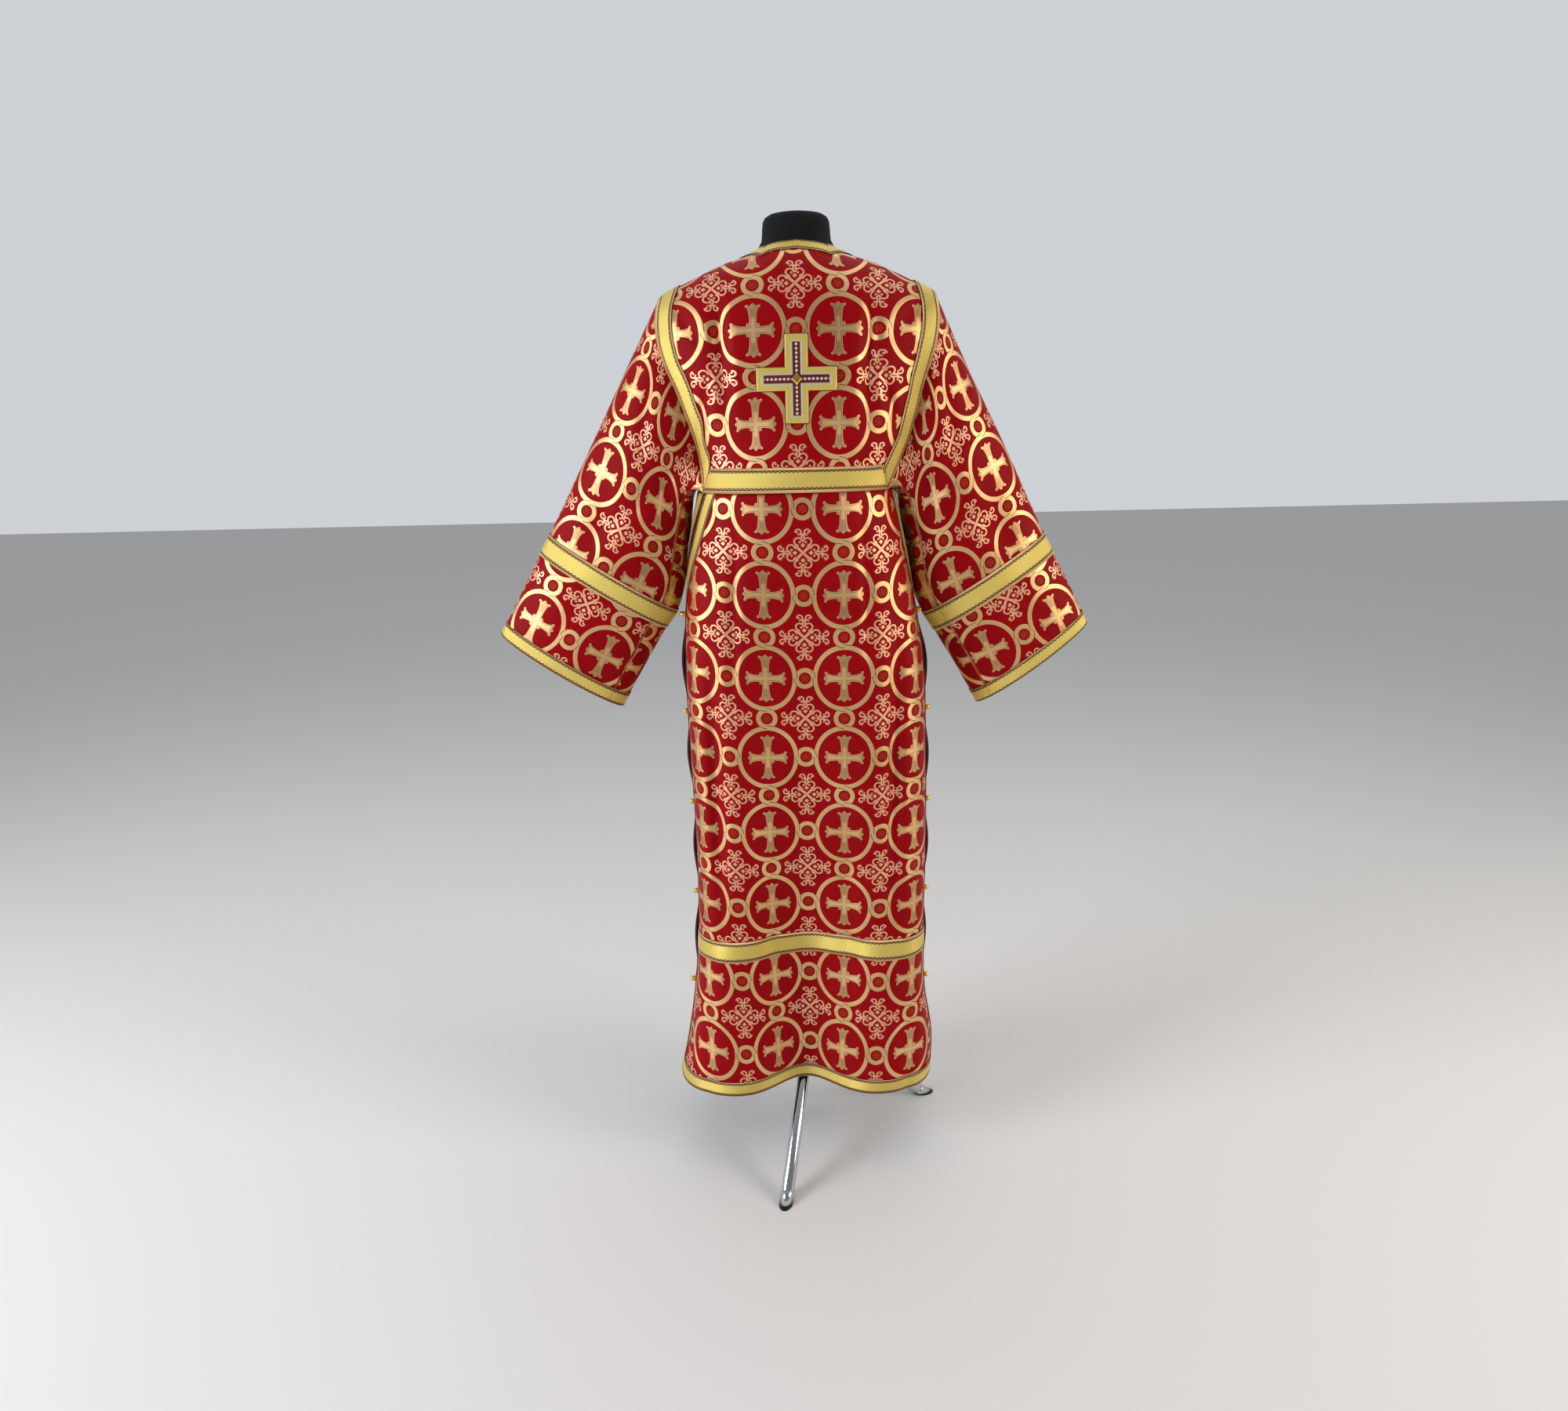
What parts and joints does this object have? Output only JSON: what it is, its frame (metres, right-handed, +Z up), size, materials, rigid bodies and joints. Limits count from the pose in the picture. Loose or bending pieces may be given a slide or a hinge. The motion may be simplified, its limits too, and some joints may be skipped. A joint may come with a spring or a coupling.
{
  "type": "sticharion on a dress form",
  "caption": "Long wide-sleeved liturgical tunic in red and gold brocade with gold galloon trim and a back cross, worn by a limbless dress form on a chrome tripod stand.",
  "frame": {"origin": "centre of the bounding box's footprint, on the floor", "axes": "+Z up, -Y out of the wearer's back, +X towards the wearer's right"},
  "size_m": [0.9906, 0.4256, 1.598],
  "materials": {
    "brocade": "red and gold jacquard brocade, satin ground",
    "galloon": "gold lame galloon ribbon with a dark red toothed line",
    "cross_cloth": "gold lame applique with pale piping",
    "gold_metal": "polished gold-coloured metal",
    "black_jersey": "matt black stretch jersey",
    "chrome": "polished chromed steel tube",
    "black_plastic": "matt moulded plastic"
  },
  "bodies": {
    "root": {"yoke_back": "brocade", "yoke_front": "brocade", "neck_galloon_back": "galloon", "chest_band_back": "galloon", "neck_galloon_right": "galloon", "armhole_galloon_right": "galloon", "neck_galloon_front": "galloon", "chest_band_front": "galloon", "neck_galloon_left": "galloon", "armhole_galloon_left": "galloon", "skirt_back": "brocade", "skirt_band_back": "galloon", "hem_galloon_back": "galloon", "side_galloon_back_left": "galloon", "side_galloon_back_right": "galloon", "skirt_front": "brocade", "skirt_band_front": "galloon", "hem_galloon_front": "galloon", "side_galloon_front_left": "galloon", "side_galloon_front_right": "galloon", "sleeve_left": "brocade", "sleeve_band_left": "galloon", "cuff_galloon_left": "galloon", "sleeve_right": "brocade", "sleeve_band_right": "galloon", "cuff_galloon_right": "galloon", "back_cross": "cross_cloth", "back_cross_centre": "gold_metal", "button_left_1": "gold_metal", "button_left_2": "gold_metal", "button_left_3": "gold_metal", "button_left_4": "gold_metal", "button_left_5": "gold_metal", "button_right_1": "gold_metal", "button_right_2": "gold_metal", "button_right_3": "gold_metal", "button_right_4": "gold_metal", "button_right_5": "gold_metal", "form_torso": "black_jersey", "stand_post": "chrome", "stand_hub": "black_plastic", "stand_leg_1": "chrome", "stand_foot_1": "black_plastic", "stand_leg_2": "chrome", "stand_foot_2": "black_plastic", "stand_leg_3": "chrome", "stand_foot_3": "black_plastic"}
  },
  "joints": []
}
